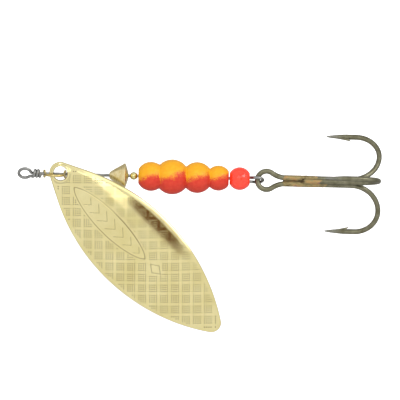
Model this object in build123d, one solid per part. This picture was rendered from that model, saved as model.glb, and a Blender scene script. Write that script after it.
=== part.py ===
"""In-line spinner: a wire shaft with a line eye at the front and a hook loop at the rear, carrying
a stirrup clevis with its blade, a bell, a bead, a bulbous weight, a tail bead and a treble hook.

Row frame, millimetres: the origin is the centre of the line eye, +X runs along the shaft to the
hook, +Y lies across the lure and +Z points out of the side that the blade lies on.
"""

from build123d import *
from math import cos, degrees, pi, radians, sin, sqrt, tan
import os

os.makedirs("parts", exist_ok=True)

# Shaft wire
WIRE_D = 0.8
EYE_R = 1.6  # wire centreline in the line eye
EYE_TURN = 42.0  # the eye's plane, turned about the shaft from +Y towards +Z
EYE_NECK_X = 2.4  # where the shaft leaves its axis to form the eye
EYE_END_ANGLE = -50.0  # where the round of the eye ends and the crossing starts
WRAP_GAP = 0.01  # between neighbouring turns of wire
WRAP_START_X = 2.42
WRAP_TURNS = 2.1
RUNNING = 0.05  # radial clearance of everything that turns on the shaft

# Stirrup clevis
CLEVIS_WIRE_D = 0.75
CLEVIS_FRONT_X = 5.15
CLEVIS_REAR_X = 10.6
CLEVIS_EAR_R = 1.1
CLEVIS_EAR_T = 0.42
CLEVIS_SPLAY = 12.0  # the ears and legs lean towards each other at the top
CLEVIS_LEG_Z = 1.7  # where the legs run into the bow
CLEVIS_LEAN = 8.0  # the whole clevis leans towards -Y under the blade's weight

# Blade, in its own axes: u along it from the hole to the tip, w across it, and its dome upwards
BLADE_HOLE = (9.37, 0.2, 2.1)
BLADE_HOLE_R = 1.8
BLADE_HEAD_R = 2.95
BLADE_REACH = 59.1  # from the hole's centre to the tip
BLADE_HALF_WIDTH = 11.2
BLADE_WIDEST_U = 28.0
BLADE_FLANK = 27.0  # angle of the straight flank beside the head
BLADE_TIP_SIDE_R = 54.0  # edge radius between the widest place and the tip
BLADE_T = 0.7
BLADE_CROSS_R = 35.0  # dome radius across the blade
BLADE_LONG_R = 150.0  # dome radius along the blade
BLADE_CROWN_DEPTH = 3.5  # deeper than the dome falls at the edge
BLADE_YAW = -43.3
BLADE_PITCH = 6.6  # the tip is lower than the hole
BLADE_ROLL = 7.0  # the edge over the bell is higher than the far edge

# Bell, bead, weight and tail bead on the shaft
BELL_X = 22.3
BELL_SKIRT_X = 26.4
BELL_REAR_X = 27.4
BELL_NOSE_R = 0.8
BELL_SKIRT_R = 3.3
BELL_SWELL = 0.12  # the cone's side stands proud of a straight line by this much
BELL_BACK_SWELL = 0.18  # and its back by this much
BEAD_X = 28.75
BEAD_R = 1.03
BEAD_HALF_LENGTH = 0.93
WEIGHT_BULBS = [(33.3, 3.85), (38.9, 4.62), (45.5, 4.1), (51.1, 3.33)]
WEIGHT_NOSE_X = 29.95
WEIGHT_TAIL_X = 53.85
TAIL_BEAD_X = 56.72
TAIL_BEAD_R = 3.04
TAIL_BEAD_HALF_LENGTH = 2.66
TAIL_BEAD_BORE_R = 1.27  # lets both strands of the hook loop through

# Hook loop at the rear of the shaft
LOOP_R = 1.44
LOOP_X = 61.4  # centre of the loop's round end
LOOP_Y = -0.2  # the loop hangs a little to one side of the shaft
LOOP_STRAND = (0.61, 1.304)  # y and z of the upper strand from the loop's middle, at that centre
PAIR_STRAND = (0.54, 0.305)  # the same inside the tail bead
PAIR_X = 59.3
TAIL_END_X = 56.2
AXIS_RETURN = (56.6, 54.4)  # where the shaft swings back to its axis inside the tail bead

# Treble hook
HOOK_D = 1.4
HOOK_EYE_X = 63.82
HOOK_EYE_R = 2.42
SHANK_Y = 0.78
NECK_X = 69.0
SINGLE_Z = 1.19  # height of the single hook's shank over the pair
SINGLE_FRONT_X = 74.1
HOOK_TURN = 4.4  # the treble, turned about the shaft from +Z towards +Y
TREBLE_Y = -0.27  # the treble's eye lies a little to one side in the hook loop
BEND_FAR_X = 93.4  # wire centreline at the far side of the bend
BEND_OUT = 8.05  # distance from the treble's axis to that far side
POINT_BEND_R = 6.15  # the tighter second half of the bend, before the point
POINT_X = 79.2
POINT_LENGTH = 3.6
POINT_TIP_R = 0.07
BARB_X = (82.3, 85.9)  # root and tip
BARB_ROOT_OUT = 0.42  # the barb's inner corners, from the wire's centreline
BARB_THROAT_OUT = 0.6
BARB_TIP_OUT = 1.42
BARB_THROAT = 0.7  # length of the undercut behind the barb
BARB_T = 0.36
BRAZE_X = (68.0, 80.4)
BRAZE_HALF_Z = 0.42
BRAZE_WEB_MARGIN = 0.22  # the web stops short of the middles of the two shanks
BRAZE_FOOT = 0.8  # how far the saddle reaches ahead of the single hook's front end


def unit(v):
    return v / v.length


def bridge(start, start_dir, end, end_dir):
    """Two arcs that leave start along start_dir and reach end along end_dir without a kink."""
    t0 = unit(Vector(*start_dir))
    t1 = unit(Vector(*end_dir))
    p0 = Vector(*start)
    p1 = Vector(*end)
    v = p1 - p0
    t = t0 + t1
    bend = 2 * (1 - t0.dot(t1))
    if bend < 1e-9:
        d = v.dot(v) / (2 * v.dot(t))
    else:
        d = (sqrt(v.dot(t) ** 2 + bend * v.dot(v)) - v.dot(t)) / bend
    middle = (p0 + p1 + (t0 - t1) * d) / 2
    middle_dir = unit((p1 - t1 * d) - (p0 + t0 * d))
    return [TangentArc(p0, middle, tangent=t0), TangentArc(middle, p1, tangent=middle_dir)]


def tube(edges, diameter):
    """Round wire along edges that follow each other."""
    path = Wire(edges)
    start = Plane(origin=path @ 0, z_dir=path % 0)
    return sweep(start * Circle(diameter / 2), path=path)


def tangent_neck(circle_r, neck_y, neck_length):
    """The fillet radius that leads a circle of circle_r into a strand at neck_y over neck_length,
    and the place on the circle where it starts, measured from the circle's centre."""
    fillet_r = (neck_length**2 - circle_r**2 + neck_y**2) / (2 * (circle_r - neck_y))
    share = circle_r / (circle_r + fillet_r)
    return fillet_r, (neck_length * share, (neck_y + fillet_r) * share)


def shaft_wire():
    """One wire: line eye with its end wrapped round the shaft, long straight run, hook loop."""
    turn = radians(EYE_TURN)
    across = Vector(0, cos(turn), sin(turn))
    over = Vector(0, -sin(turn), cos(turn))

    def at(x, a, o):
        return Vector(x, 0, 0) + across * a + over * o

    # The loop end, from the cut tail inside the tail bead to where the shaft finds its axis
    far = Vector(0, *LOOP_STRAND)
    near = Vector(0, *PAIR_STRAND)
    back = (-1, 0, 0)
    tail_end = Vector(TAIL_END_X, LOOP_Y, 0) - near
    tail_mouth = Vector(PAIR_X, LOOP_Y, 0) - near
    loop_low = Vector(LOOP_X, LOOP_Y, 0) - far
    loop_end = Vector(LOOP_X + LOOP_R, LOOP_Y, 0)
    loop_high = Vector(LOOP_X, LOOP_Y, 0) + far
    main_mouth = Vector(PAIR_X, LOOP_Y, 0) + near
    main_turn = Vector(AXIS_RETURN[0], LOOP_Y, 0) + near
    on_axis = Vector(AXIS_RETURN[1], 0, 0)
    edges = [Line(tail_end, tail_mouth)]
    edges += bridge(tail_mouth, (1, 0, 0), loop_low, (1, 0, 0))
    edges += [ThreePointArc(loop_low, loop_end, loop_high)]
    edges += bridge(loop_high, back, main_mouth, back)
    edges += [Line(main_mouth, main_turn)]
    edges += bridge(main_turn, back, on_axis, back)

    # The line eye, and the crossing into the wrap
    _, (leave_x, leave_a) = tangent_neck(EYE_R, 0, EYE_NECK_X)
    neck = at(EYE_NECK_X, 0, 0)
    edges += [Line(on_axis, neck)]
    edges += [TangentArc(neck, at(leave_x, leave_a, 0), tangent=back)]
    wrap_r = WIRE_D + WRAP_GAP
    pitch = WIRE_D + WRAP_GAP
    lead = pitch / (2 * pi)
    end_angle = radians(EYE_END_ANGLE)
    eye_end = at(EYE_R * cos(end_angle), EYE_R * sin(end_angle), 0)
    eye_end_dir = at(-sin(end_angle), cos(end_angle), 0)
    edges += [ThreePointArc(at(leave_x, leave_a, 0), at(-EYE_R, 0, 0), eye_end)]
    wrap_start = at(WRAP_START_X, 0, wrap_r)
    wrap_dir = Vector(lead, 0, 0) + across * wrap_r
    edges += bridge(eye_end, tuple(eye_end_dir), wrap_start, tuple(wrap_dir))
    wrap_frame = Plane(origin=(WRAP_START_X, 0, 0), x_dir=over, z_dir=(1, 0, 0))
    edges += [wrap_frame * Helix(pitch, pitch * WRAP_TURNS, wrap_r, lefthand=True)]
    return tube(edges, WIRE_D)


def clevis():
    """Wire stirrup: a flattened ear at each end turns on the shaft and the bow holds the blade."""
    splay = radians(CLEVIS_SPLAY)
    middle_x = (CLEVIS_REAR_X + CLEVIS_FRONT_X) / 2
    foot_z = CLEVIS_EAR_R - CLEVIS_WIRE_D / 2
    half_span = middle_x - CLEVIS_FRONT_X - CLEVIS_LEG_Z * tan(splay)
    bow_rise = half_span * (1 - sin(splay)) / cos(splay)

    def on_leg(side, z):
        return Vector(middle_x + side * (middle_x - CLEVIS_FRONT_X - z * tan(splay)), 0, z)

    bow_top = Vector(middle_x, 0, CLEVIS_LEG_Z + bow_rise)
    solid = tube(
        [
            Line(on_leg(-1, foot_z), on_leg(-1, CLEVIS_LEG_Z)),
            ThreePointArc(on_leg(-1, CLEVIS_LEG_Z), bow_top, on_leg(1, CLEVIS_LEG_Z)),
            Line(on_leg(1, CLEVIS_LEG_Z), on_leg(1, foot_z)),
        ],
        CLEVIS_WIRE_D,
    )
    for side in (-1, 1):
        ear = Plane(origin=on_leg(side, 0), z_dir=(cos(splay), 0, side * sin(splay)))
        solid += extrude(ear * Circle(CLEVIS_EAR_R), CLEVIS_EAR_T / 2, both=True)
    bore = Plane(origin=(0, 0, 0), z_dir=(1, 0, 0)) * Circle(WIRE_D / 2 + RUNNING)
    return Rot(X=CLEVIS_LEAN) * (solid - extrude(bore, 2 * CLEVIS_REAR_X))


def blade_outline():
    """The blade's edge in its own plane: round head, straight flanks, widest place, round tip."""
    flank = radians(BLADE_FLANK)
    widest = (BLADE_WIDEST_U, BLADE_HALF_WIDTH)
    head_side = (-BLADE_HEAD_R * sin(flank), BLADE_HEAD_R * cos(flank))
    # The arc that leads the straight flank into the widest place
    rise = head_side[1] + (BLADE_WIDEST_U - head_side[0]) * sin(flank) / cos(flank)
    side_r = (rise - BLADE_HALF_WIDTH) / (1 / cos(flank) - 1)
    flank_end = (
        BLADE_WIDEST_U - side_r * sin(flank),
        BLADE_HALF_WIDTH - side_r * (1 - cos(flank)),
    )
    # The tip's arc sits inside the side's arc and ends at the blade's reach
    centre_w = BLADE_TIP_SIDE_R - BLADE_HALF_WIDTH
    span = BLADE_REACH - BLADE_WIDEST_U
    tip_r = (BLADE_TIP_SIDE_R**2 - centre_w**2 - span**2) / (2 * (BLADE_TIP_SIDE_R - span))
    tip_u = BLADE_REACH - tip_r
    reach = BLADE_TIP_SIDE_R - tip_r
    tip_side = (
        tip_u + tip_r * (tip_u - BLADE_WIDEST_U) / reach,
        tip_r * centre_w / reach,
    )
    upper = [
        Line(head_side, flank_end),
        TangentArc(flank_end, widest, tangent=(cos(flank), sin(flank))),
        TangentArc(widest, tip_side, tangent=(1, 0)),
    ]
    lower = [mirror(edge, Plane.XZ) for edge in upper]
    head = ThreePointArc(head_side, (-BLADE_HEAD_R, 0), (head_side[0], -head_side[1]))
    tip = ThreePointArc(tip_side, (BLADE_REACH, 0), (tip_side[0], -tip_side[1]))
    return make_face(upper + lower + [head, tip])


def blade_place():
    """The blade's own axes in the row frame."""
    return Pos(*BLADE_HOLE) * Rot(Z=BLADE_YAW) * Rot(Y=BLADE_PITCH) * Rot(X=BLADE_ROLL)


def blade():
    """Thin pressed leaf, domed along and across, with the clevis hole in its head."""
    half = BLADE_T / 2
    lift = (BLADE_WIDEST_U**2) / (2 * BLADE_LONG_R)
    section = Plane(origin=(BLADE_WIDEST_U, 0, lift), x_dir=(0, 1, 0), z_dir=(1, 0, 0))
    wide = 4 * BLADE_HALF_WIDTH  # beyond the blade's edge all round
    ring = Circle(BLADE_CROSS_R + half) - Circle(BLADE_CROSS_R - half)
    window = Pos(0, half - BLADE_CROWN_DEPTH / 2) * Rectangle(wide, BLADE_CROWN_DEPTH)
    strip = section * ((Pos(0, -BLADE_CROSS_R) * ring) & window)
    axis = Axis((BLADE_WIDEST_U, 0, lift - BLADE_LONG_R), (0, 1, 0))
    sweep_angle = 2 * degrees(BLADE_REACH / BLADE_LONG_R)
    shell = revolve(strip.rotate(axis, -sweep_angle / 2), axis, sweep_angle)
    leaf = extrude(blade_outline(), wide / 2, both=True)
    hole = extrude(Rot(Z=45) * Circle(BLADE_HOLE_R), wide / 2, both=True)
    return blade_place() * ((shell & leaf) - hole)


def turned(profile, bore_r):
    """A piece turned about the shaft from its half profile in x and radius, with its bore."""
    body = revolve(make_face(profile), Axis.X)
    bore = Plane.YZ * Circle(bore_r)
    return body - extrude(bore, body.bounding_box().max.X + bore_r)


def bell():
    """Cone that opens to the rear, with a shallow domed back."""
    nose = (BELL_X, BELL_NOSE_R)
    skirt = (BELL_SKIRT_X, BELL_SKIRT_R)
    rear = (BELL_REAR_X, 0)
    swell = (
        (BELL_X + BELL_SKIRT_X) / 2,
        (BELL_NOSE_R + BELL_SKIRT_R) / 2 + BELL_SWELL,
    )
    back_bulge = ((BELL_SKIRT_X + BELL_REAR_X) / 2 + BELL_BACK_SWELL, BELL_SKIRT_R / 2)
    profile = [
        Line((BELL_X, 0), nose),
        ThreePointArc(nose, swell, skirt),
        ThreePointArc(skirt, back_bulge, rear),
        Line(rear, (BELL_X, 0)),
    ]
    return turned(profile, WIRE_D / 2 + RUNNING)


def round_bead(x, radius, half_length, bore_r):
    """A ball with both poles cut flat, bored through."""
    flat_r = sqrt(radius**2 - half_length**2)
    front = x - half_length
    rear = x + half_length
    profile = [
        Line((front, 0), (front, flat_r)),
        ThreePointArc((front, flat_r), (x, radius), (rear, flat_r)),
        Line((rear, flat_r), (rear, 0)),
        Line((rear, 0), (front, 0)),
    ]
    return turned(profile, bore_r)


def spacer_bead():
    """Small brass ball that keeps the bell off the weight."""
    return round_bead(BEAD_X, BEAD_R, BEAD_HALF_LENGTH, WIRE_D / 2 + RUNNING)


def tail_bead():
    """Plastic ball that closes over the doubled end of the shaft."""
    return round_bead(TAIL_BEAD_X, TAIL_BEAD_R, TAIL_BEAD_HALF_LENGTH, TAIL_BEAD_BORE_R)


def weight():
    """Four graded bulbs in one piece, flat at both ends, bored through."""
    first_x, first_r = WEIGHT_BULBS[0]
    last_x, last_r = WEIGHT_BULBS[-1]
    nose_r = sqrt(first_r**2 - (first_x - WEIGHT_NOSE_X) ** 2)
    tail_r = sqrt(last_r**2 - (WEIGHT_TAIL_X - last_x) ** 2)
    outline = [Line((WEIGHT_NOSE_X, 0), (WEIGHT_NOSE_X, nose_r))]
    start = (WEIGHT_NOSE_X, nose_r)
    for (x, r), (next_x, next_r) in zip(WEIGHT_BULBS, WEIGHT_BULBS[1:]):
        gap = next_x - x
        waist_x = x + (gap**2 + r**2 - next_r**2) / (2 * gap)
        waist = (waist_x, sqrt(r**2 - (waist_x - x) ** 2))
        outline += [ThreePointArc(start, (x, r), waist)]
        start = waist
    end = (WEIGHT_TAIL_X, tail_r)
    outline += [ThreePointArc(start, (last_x, last_r), end)]
    outline += [Line(end, (WEIGHT_TAIL_X, 0))]
    outline += [Line((WEIGHT_TAIL_X, 0), (WEIGHT_NOSE_X, 0))]
    return turned(outline, WIRE_D / 2 + RUNNING)


def hook_arm(start, out):
    """One hook's wire from its shank's start to its cone point, bending towards the angle out,
    which is measured about the shaft from +Z towards +Y. Returns the edges, the direction of
    the bend and the base of the point."""
    angle = radians(out)
    away = Vector(0, sin(angle), cos(angle))
    shank = Vector(0, start.Y, start.Z)
    step = shank.dot(away)

    def at(x, distance):
        return shank + Vector(x, 0, 0) + away * (distance - step)

    shank_end = at(BEND_FAR_X - (BEND_OUT - step), step)
    far = at(BEND_FAR_X, BEND_OUT)
    bend_end = at(BEND_FAR_X - POINT_BEND_R, BEND_OUT + POINT_BEND_R)
    point_base = at(POINT_X + POINT_LENGTH, BEND_OUT + POINT_BEND_R)
    edges = [
        Line(start, shank_end),
        TangentArc(shank_end, far, tangent=(1, 0, 0)),
        TangentArc(far, bend_end, tangent=away),
        Line(bend_end, point_base),
    ]
    return edges, away, point_base


def hook_point(base, away):
    """Tapered point with a barb raised on its inner side."""
    cone_place = Plane(origin=base, x_dir=away, z_dir=(-1, 0, 0))
    point = Solid.make_cone(HOOK_D / 2, POINT_TIP_R, POINT_LENGTH, plane=cone_place)
    inner = away * -1
    side = Plane(origin=(0, base.Y, base.Z), x_dir=(1, 0, 0), z_dir=Vector(1, 0, 0).cross(inner))
    root_x, tip_x = BARB_X
    throat_x = tip_x - BARB_THROAT
    flat = [
        (root_x, BARB_ROOT_OUT),
        (tip_x, BARB_TIP_OUT),
        (throat_x, BARB_THROAT_OUT),
        (throat_x, BARB_ROOT_OUT),
    ]
    barb = extrude(side * make_face(Polyline(*flat, close=True)), BARB_T / 2, both=True)
    return point + barb


def double_hook():
    """One wire: point, bend, shank, eye, shank, bend and point."""
    arms = []
    for side in (1, -1):
        start = Vector(NECK_X, side * SHANK_Y, 0)
        arms.append(hook_arm(start, side * 120 + HOOK_TURN))
    _, (leave_x, leave_y) = tangent_neck(HOOK_EYE_R, SHANK_Y, NECK_X - HOOK_EYE_X)
    eye_front = Vector(HOOK_EYE_X - HOOK_EYE_R, 0, 0)
    eye_side = [Vector(HOOK_EYE_X + leave_x, side * leave_y, 0) for side in (1, -1)]
    neck = [Vector(NECK_X, side * SHANK_Y, 0) for side in (1, -1)]
    eye = [
        TangentArc(neck[0], eye_side[0], tangent=(-1, 0, 0)),
        ThreePointArc(eye_side[0], eye_front, eye_side[1]),
    ]
    lead_in = TangentArc(neck[1], eye_side[1], tangent=(-1, 0, 0))
    solid = tube(eye, HOOK_D) + tube([lead_in], HOOK_D)
    for edges, away, base in arms:
        solid += tube(edges, HOOK_D)
        solid += hook_point(base, away)
    return Pos(0, TREBLE_Y, 0) * solid


def single_hook():
    """The third hook, whose straight shank lies on the pair."""
    start = Vector(SINGLE_FRONT_X, 0, SINGLE_Z)
    edges, away, base = hook_arm(start, HOOK_TURN)
    return Pos(0, TREBLE_Y, 0) * (tube(edges, HOOK_D) + hook_point(base, away))


def along_x(shape, start, end):
    """A flat shape in y and z, drawn out from start to end along the shaft."""
    place = Plane(origin=(start, 0, 0), x_dir=(0, 1, 0), z_dir=(1, 0, 0))
    return extrude(place * shape, end - start)


def braze():
    """Brazing metal in the groove between the pair of shanks and beside the single one."""
    start, end = BRAZE_X
    web_y = SHANK_Y - BRAZE_WEB_MARGIN
    solid = along_x(Rectangle(2 * web_y, 2 * BRAZE_HALF_Z), start, end)
    saddle_z = (BRAZE_HALF_Z + SINGLE_Z) / 2
    saddle = Pos(0, saddle_z) * Rectangle(2 * web_y, SINGLE_Z - BRAZE_HALF_Z)
    solid += along_x(saddle, SINGLE_FRONT_X - BRAZE_FOOT, end)
    for y, z in ((SHANK_Y, 0), (-SHANK_Y, 0), (0, SINGLE_Z)):
        first = SINGLE_FRONT_X if z else start - 1
        solid -= along_x(Pos(y, z) * Circle(HOOK_D / 2), first, end + 1)
    return Pos(0, TREBLE_Y, 0) * solid


PIECES = {
    "shaft_wire": shaft_wire,
    "clevis": clevis,
    "blade": blade,
    "bell": bell,
    "spacer_bead": spacer_bead,
    "body_weight": weight,
    "tail_bead": tail_bead,
    "double_hook": double_hook,
    "single_hook": single_hook,
    "braze": braze,
}

for name, make in PIECES.items():
    shape = make()
    print(name, shape.is_valid, len(shape.solids()), round(shape.volume, 3))
    export_step(shape, f"parts/{name}.step")
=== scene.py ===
import math

import bmesh
import bpy
import numpy as np
from mathutils import Matrix, Vector, geometry, kdtree, noise


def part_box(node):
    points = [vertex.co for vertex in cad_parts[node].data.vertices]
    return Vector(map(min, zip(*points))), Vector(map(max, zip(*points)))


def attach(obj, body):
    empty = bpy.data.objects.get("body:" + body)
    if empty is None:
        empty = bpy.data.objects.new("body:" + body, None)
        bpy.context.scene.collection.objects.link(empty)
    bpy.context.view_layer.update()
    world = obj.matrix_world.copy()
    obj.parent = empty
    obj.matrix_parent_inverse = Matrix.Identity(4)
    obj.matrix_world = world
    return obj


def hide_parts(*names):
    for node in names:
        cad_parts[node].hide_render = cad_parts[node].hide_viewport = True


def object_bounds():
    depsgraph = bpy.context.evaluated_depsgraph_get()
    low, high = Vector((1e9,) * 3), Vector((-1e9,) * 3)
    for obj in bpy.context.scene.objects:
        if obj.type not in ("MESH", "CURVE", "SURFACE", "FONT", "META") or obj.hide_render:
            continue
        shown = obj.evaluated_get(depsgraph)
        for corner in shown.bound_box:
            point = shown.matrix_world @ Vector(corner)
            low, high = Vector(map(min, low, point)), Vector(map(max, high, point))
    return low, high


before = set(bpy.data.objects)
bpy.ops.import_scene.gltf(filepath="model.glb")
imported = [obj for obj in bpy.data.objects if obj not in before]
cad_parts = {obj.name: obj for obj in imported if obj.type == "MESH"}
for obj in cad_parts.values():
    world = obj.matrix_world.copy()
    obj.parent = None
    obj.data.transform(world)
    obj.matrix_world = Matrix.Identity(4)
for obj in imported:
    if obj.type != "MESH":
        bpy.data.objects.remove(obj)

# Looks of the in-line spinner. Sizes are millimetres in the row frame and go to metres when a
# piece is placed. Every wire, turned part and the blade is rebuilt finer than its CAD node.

MM = 0.001
cad_low, cad_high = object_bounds()

# Shaft wire
WIRE_R = 0.4
EYE_R = 1.6
EYE_TURN = math.radians(42)
EYE_NECK_X = 2.4
EYE_END_ANGLE = math.radians(-50)
WRAP_PITCH = 0.81
WRAP_START_X = 2.42
WRAP_TURNS = 2.1
LOOP_X = 61.4
LOOP_Y = -0.2
LOOP_STRAND = (0.61, 1.304)
PAIR_STRAND = (0.54, 0.305)
PAIR_X = 59.3
TAIL_END_X = 56.2
AXIS_RETURN = (56.6, 54.4)

# Clevis
CLEVIS_WIRE_R = 0.375
CLEVIS_FRONT_X = 5.15
CLEVIS_REAR_X = 10.6
CLEVIS_EAR_R = 1.1
CLEVIS_EAR_T = 0.42
CLEVIS_BORE_R = 0.45
CLEVIS_SPLAY = math.radians(12)
CLEVIS_LEG_Z = 1.7
CLEVIS_LEAN = math.radians(8)

# Blade: u along it from the hole to the tip, w across it, and its dome upwards
BLADE_HOLE = (9.37, 0.2, 2.1)
BLADE_TURNS = (-43.3, 6.6, 7.0)  # degrees about z, y and x
BLADE_HOLE_R = 1.8
BLADE_HEAD_R = 2.95
BLADE_REACH = 59.1
BLADE_HALF_WIDTH = 11.2
BLADE_WIDEST_U = 28.0
BLADE_FLANK = math.radians(27)
BLADE_TIP_SIDE_R = 54.0
BLADE_HALF_T = 0.35
BLADE_CROSS_R = 35.0
BLADE_LONG_R = 150.0
RIM_WIDTH = 1.5  # the press turns this much of the edge down, ever steeper
RIM_DROP = 0.16
RIM_PLAIN = 0.8  # no dimples nearer the edge than this
EDGE_ROUND = 0.16
DIMPLE_PITCH = 0.578
DIMPLE_GROUP = 5  # four dimples and a gap
DIMPLE_R = 0.175
DIMPLE_DEPTH = 0.08
LEAF = (5.2, 31.6, 3.0)  # emblem: from, to and half width
LINE_HALF = 0.12  # half width of an engraved line
LINE_DEPTH = 0.07

# Bell and beads
BELL_SKIRT_X = 26.4
SPACER_HALF_LENGTH = 0.93
TAIL_BEAD_HALF_LENGTH = 2.66
TAIL_BEAD_BORE_R = 1.27

# Bulbs of the weight: x and radius
BULBS = [(33.3, 3.85), (38.9, 4.62), (45.5, 4.1), (51.1, 3.33)]
WEIGHT_ENDS = (29.95, 53.85)
BORE_R = 0.45

# Treble
HOOK_R = 0.697
HOOK_EYE_X = 63.82
HOOK_EYE_R = 2.42
SHANK_Y = 0.78
NECK_X = 69.0
SINGLE_Z = 1.19
SINGLE_FRONT_X = 74.1
HOOK_TURN = 4.4
TREBLE_Y = -0.27
BEND_FAR_X = 93.4
BEND_OUT = 8.05
POINT_BEND_R = 6.15
POINT_X = 79.2
POINT_LENGTH = 3.6
POINT_TAPER = 5.0  # the ground point swells all the way to the barb
BARB_X = (82.3, 85.9)
BARB_OUT = 1.42
BRAZE_X = (68.0, 80.4)


# ---------------------------------------------------------------- camera, floor and light


def frame_photo():
    """Straight down on the lure, turned a little, as wide as the lure and its margins."""
    camera = bpy.data.objects.new("camera", bpy.data.cameras.new("camera"))
    bpy.context.scene.collection.objects.link(camera)
    camera.data.type = "ORTHO"
    camera.data.ortho_scale = 0.1056
    camera.data.clip_end = 10
    middle = (cad_low + cad_high) / 2
    camera.location = (middle.x + 0.00034, middle.y + 0.0083, 0.5)
    camera.rotation_euler = (0, 0, math.radians(1.485))
    bpy.context.scene.camera = camera


def stage_plane(name, middle, half_x, half_y, material, turn=(0, 0, 0)):
    """A flat card that is scenery and not part of the lure."""
    mesh = bpy.data.meshes.new(name)
    corners = [(-half_x, -half_y, 0), (half_x, -half_y, 0), (half_x, half_y, 0), (-half_x, half_y, 0)]
    mesh.from_pydata(corners, [], [(0, 1, 2, 3)])
    mesh.materials.append(material)
    card = bpy.data.objects.new(name, mesh)
    card.location = middle
    card.rotation_euler = turn
    bpy.context.scene.collection.objects.link(card)
    return card


def reflected(name, middle, halves, color, turn=0):
    """A card that only reflections see, with its own brightness."""
    material = plain(name, (0, 0, 0))
    shader = material.node_tree.nodes["Principled BSDF"]
    shader.inputs["Emission Color"].default_value = (*color, 1)
    shader.inputs["Emission Strength"].default_value = 1
    shader.inputs["Specular IOR Level"].default_value = 0
    card = stage_plane(name, middle, *halves, material, (0, 0, math.radians(turn)))
    card.visible_camera = False
    card.visible_diffuse = False
    card.visible_shadow = False
    card.visible_transmission = False
    return card


def soft_light(name, place, target, size, power, color=(1, 1, 1)):
    light = bpy.data.lights.new(name, "AREA")
    light.shape = "SQUARE"
    light.size = size
    light.energy = power
    light.color = color
    lamp = bpy.data.objects.new(name, light)
    lamp.location = place
    lamp.rotation_euler = (Vector(target) - Vector(place)).to_track_quat("-Z", "Y").to_euler()
    bpy.context.scene.collection.objects.link(lamp)
    return lamp


# ---------------------------------------------------------------- materials


class Surface:
    """A Principled material whose constants sit on the shader and whose detail is procedural."""

    def __init__(self, name, color, metallic, roughness, **sockets):
        self.material = bpy.data.materials.new(name)
        self.material.use_nodes = True
        self.tree = self.material.node_tree
        self.shader = self.tree.nodes["Principled BSDF"]
        self.shader.inputs["Base Color"].default_value = (*color, 1)
        self.shader.inputs["Metallic"].default_value = metallic
        self.shader.inputs["Roughness"].default_value = roughness
        for socket, value in sockets.items():
            self.shader.inputs[socket.replace("_", " ")].default_value = value
        self.place = self.tree.nodes.new("ShaderNodeTexCoord").outputs["Object"]

    def link(self, output, socket):
        target = self.shader.inputs[socket] if isinstance(socket, str) else socket
        self.tree.links.new(output, target)

    def noise(self, per_mm, detail=3, stretch=(1, 1, 1), roughness=0.5):
        """Noise whose grains are 1 / per_mm long, drawn out along an axis by stretch."""
        mapping = self.tree.nodes.new("ShaderNodeMapping")
        mapping.inputs["Scale"].default_value = [per_mm / MM / s for s in stretch]
        self.link(self.place, mapping.inputs["Vector"])
        grain = self.tree.nodes.new("ShaderNodeTexNoise")
        grain.inputs["Scale"].default_value = 1
        grain.inputs["Detail"].default_value = detail
        grain.inputs["Roughness"].default_value = roughness
        self.link(mapping.outputs["Vector"], grain.inputs["Vector"])
        return grain.outputs["Fac"]

    def attribute(self, name):
        node = self.tree.nodes.new("ShaderNodeAttribute")
        node.attribute_name = name
        return node.outputs["Fac"]

    def math(self, kind, a, b):
        node = self.tree.nodes.new("ShaderNodeMath")
        node.operation = kind
        for value, socket in ((a, node.inputs[0]), (b, node.inputs[1])):
            if isinstance(value, (int, float)):
                socket.default_value = value
            else:
                self.link(value, socket)
        return node.outputs[0]

    def ramp(self, value, *stops):
        """A colour ramp with (position, colour or grey) stops."""
        node = self.tree.nodes.new("ShaderNodeValToRGB")
        ramp = node.color_ramp
        while len(ramp.elements) < len(stops):
            ramp.elements.new(1)
        for element, (position, color) in zip(ramp.elements, stops):
            grey = isinstance(color, (int, float))
            element.position = position
            element.color = (color, color, color, 1) if grey else (*color, 1)
        self.link(value, node.inputs["Fac"])
        return node.outputs["Color"]

    def mix(self, share, a, b, kind="MIX"):
        node = self.tree.nodes.new("ShaderNodeMix")
        node.data_type = "RGBA"
        node.blend_type = kind
        self.link(share, node.inputs["Factor"])
        first, second = [s for s in node.inputs if s.type == "RGBA"]
        for value, socket in ((a, first), (b, second)):
            if isinstance(value, tuple):
                socket.default_value = (*value, 1)
            else:
                self.link(value, socket)
        return [s for s in node.outputs if s.type == "RGBA"][0]

    def bump(self, height, depth_mm, strength=1.0):
        node = self.tree.nodes.new("ShaderNodeBump")
        node.inputs["Strength"].default_value = strength
        node.inputs["Distance"].default_value = depth_mm * MM
        self.link(height, node.inputs["Height"])
        self.link(node.outputs["Normal"], "Normal")


def shaft_steel():
    s = Surface("shaft_steel", (0.42, 0.42, 0.41), 1.0, 0.3)
    drawn = s.noise(6, 4, (12, 1, 1))
    stain = s.noise(0.9, 3)
    s.link(s.ramp(stain, (0.3, (0.24, 0.24, 0.23)), (0.7, (0.40, 0.40, 0.385))), "Base Color")
    s.link(s.ramp(drawn, (0.3, 0.22), (0.75, 0.42)), "Roughness")
    s.bump(drawn, 0.012)
    return s.material


def brass(name, low, high, roughness, lines=(1, 1, 1)):
    """Brass with a light tarnish and turning or drawing marks along lines."""
    s = Surface(name, high, 1.0, roughness)
    tarnish = s.noise(0.8, 4)
    marks = s.noise(7, 3, lines)
    s.link(s.ramp(tarnish, (0.35, low), (0.65, high)), "Base Color")
    s.link(s.ramp(marks, (0.3, roughness * 0.75), (0.75, roughness * 1.35)), "Roughness")
    s.bump(marks, 0.01)
    return s.material


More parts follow.
